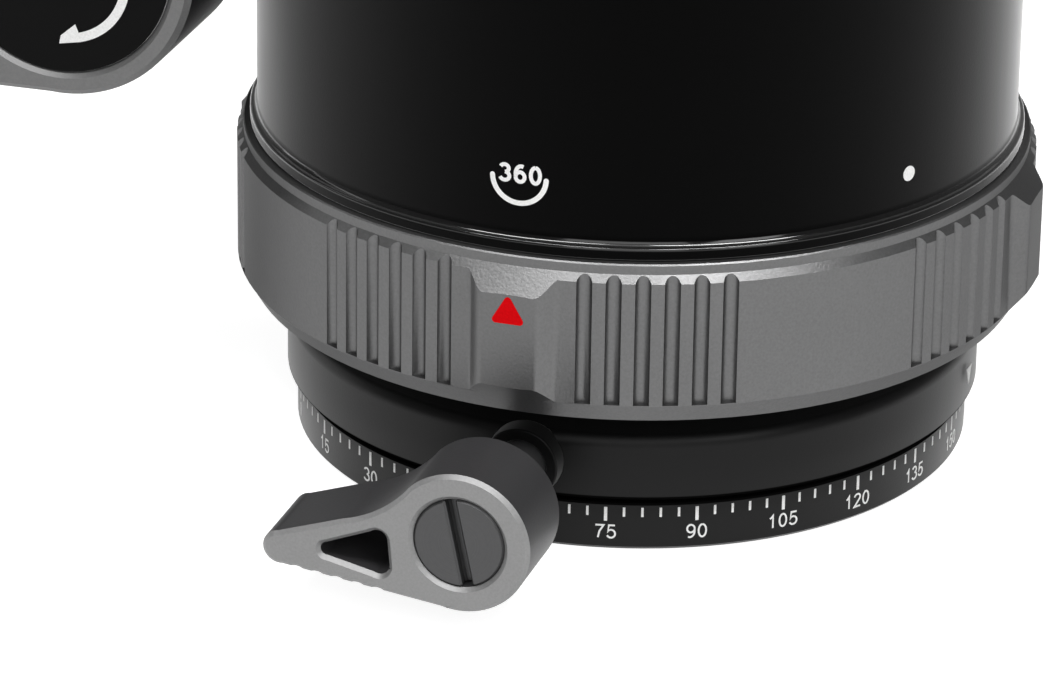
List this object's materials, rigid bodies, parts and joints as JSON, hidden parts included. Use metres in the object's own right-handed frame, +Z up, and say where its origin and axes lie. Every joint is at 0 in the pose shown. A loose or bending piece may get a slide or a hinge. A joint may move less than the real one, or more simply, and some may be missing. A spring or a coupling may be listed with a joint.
{
  "type": "hybrid ball and fluid tripod head",
  "caption": "Tripod head with a lever-locked ball in a black cylindrical housing, a lobed grey mode ring, a panning base with a degree scale and a dovetail plate clamp on top.",
  "frame": {"origin": "centre of the tripod thread at the underside of the base plate", "axes": "+Z up along the pan axis, -Y the front with the pan lever and the 360 mark, +X to the right seen from the front"},
  "size_m": [0.1159, 0.0855, 0.114],
  "materials": {
    "black_anodised": "satin black anodised aluminium",
    "grey_anodised": "bead blasted grey anodised aluminium",
    "lever_grey": "bead blasted grey anodised aluminium, dark sides",
    "bare_aluminium": "turned aluminium",
    "steel": "turned steel",
    "dark_steel": "blackened steel",
    "bronze": "bearing bronze",
    "white_plastic": "slippery bearing plastic",
    "felt": "black felt",
    "rubber": "black rubber",
    "vial": "sealed bubble level vial"
  },
  "bodies": {
    "base": {"base_plate": "black_anodised", "thread_insert": "steel", "pan_hub": "bare_aluminium", "hub_screws": "dark_steel", "lower_washer": "white_plastic", "upper_washer": "white_plastic", "pan_retainer": "bare_aluminium", "retainer_screws": "dark_steel"},
    "head": {"pan_housing": "black_anodised", "lock_bush": "black_anodised", "ball_housing": "black_anodised", "housing_screws": "dark_steel", "ring_retainer": "dark_steel", "detent_plunger": "steel", "clamp_nut": "dark_steel", "top_collar": "grey_anodised", "collar_wiper": "felt"},
    "pan_lock": {"pan_lever": "lever_grey", "pan_lever_screw": "dark_steel", "pan_stud": "steel"},
    "pan_brake": {"brake_shoe": "bronze"},
    "mode": {"mode_ring": "grey_anodised", "cam_pins": "steel", "mode_cam": "bronze"},
    "key": {"tilt_key": "steel"},
    "ball_lock": {"lock_lever": "lever_grey", "lever_cap": "black_anodised", "clamp_bolt": "steel", "lever_washer": "bronze"},
    "cup": {"ball_cup": "bare_aluminium", "cup_liner": "white_plastic"},
    "ball": {"ball": "black_anodised", "neck_post": "black_anodised"},
    "platform": {"clamp_base": "black_anodised", "centre_screw": "steel", "level_cup": "bare_aluminium", "level_vial": "vial", "seat_strips": "rubber"},
    "jaw": {"moving_jaw": "black_anodised", "guide_rods": "steel", "knob_washer": "bronze"},
    "knob": {"clamp_knob": "black_anodised", "clamp_screw": "steel", "knob_cap": "grey_anodised"}
  },
  "joints": [
    {"name": "pan_turn", "type": "hinge", "parent": "base", "child": "head", "pos_m": [0, 0, 0.008], "axis": [0, 0, 1], "continuous": true},
    {"name": "pan_lock_turn", "type": "hinge", "parent": "head", "child": "pan_lock", "pos_m": [0, -0.045, 0.0083], "axis": [0, 1, 0], "range_deg": [0, 75]},
    {"name": "pan_brake_slide", "type": "slide", "parent": "head", "child": "pan_brake", "axis": [0, 1, 0], "range_m": [0, 0.0004]},
    {"name": "mode_turn", "type": "hinge", "parent": "head", "child": "mode", "pos_m": [0, 0, 0.021], "axis": [0, 0, 1], "range_deg": [0, 60]},
    {"name": "key_lift", "type": "slide", "parent": "head", "child": "key", "axis": [0, 0, 1], "range_m": [0, 0.0018]},
    {"name": "lock_turn", "type": "hinge", "parent": "head", "child": "ball_lock", "pos_m": [-0.04435, -0.02, 0.0463], "axis": [0, 1, 0], "range_deg": [0, 45]},
    {"name": "ball_swivel", "type": "hinge", "parent": "head", "child": "cup", "pos_m": [0, 0, 0.054], "axis": [0, 0, 1], "continuous": true},
    {"name": "ball_tilt", "type": "hinge", "parent": "cup", "child": "ball", "pos_m": [0, 0, 0.054], "axis": [1, 0, 0], "range_deg": [-35, 35]},
    {"name": "ball_spin", "type": "hinge", "parent": "ball", "child": "platform", "pos_m": [0, 0, 0.098], "axis": [0, 0, 1], "continuous": true},
    {"name": "jaw_slide", "type": "slide", "parent": "platform", "child": "jaw", "axis": [0, -1, 0], "range_m": [0, 0.0025]},
    {"name": "knob_turn", "type": "hinge", "parent": "jaw", "child": "knob", "pos_m": [0, -0.037, 0.1055], "axis": [0, -1, 0], "range_deg": [0, 720]}
  ],
  "couplings": [
    {"joint": "pan_brake_slide", "follows": "pan_lock_turn", "m_per_rad": 0.000305},
    {"joint": "key_lift", "follows": "mode_turn", "m_per_rad": 0.001718},
    {"joint": "jaw_slide", "follows": "knob_turn", "m_per_rad": 0.0001989}
  ]
}
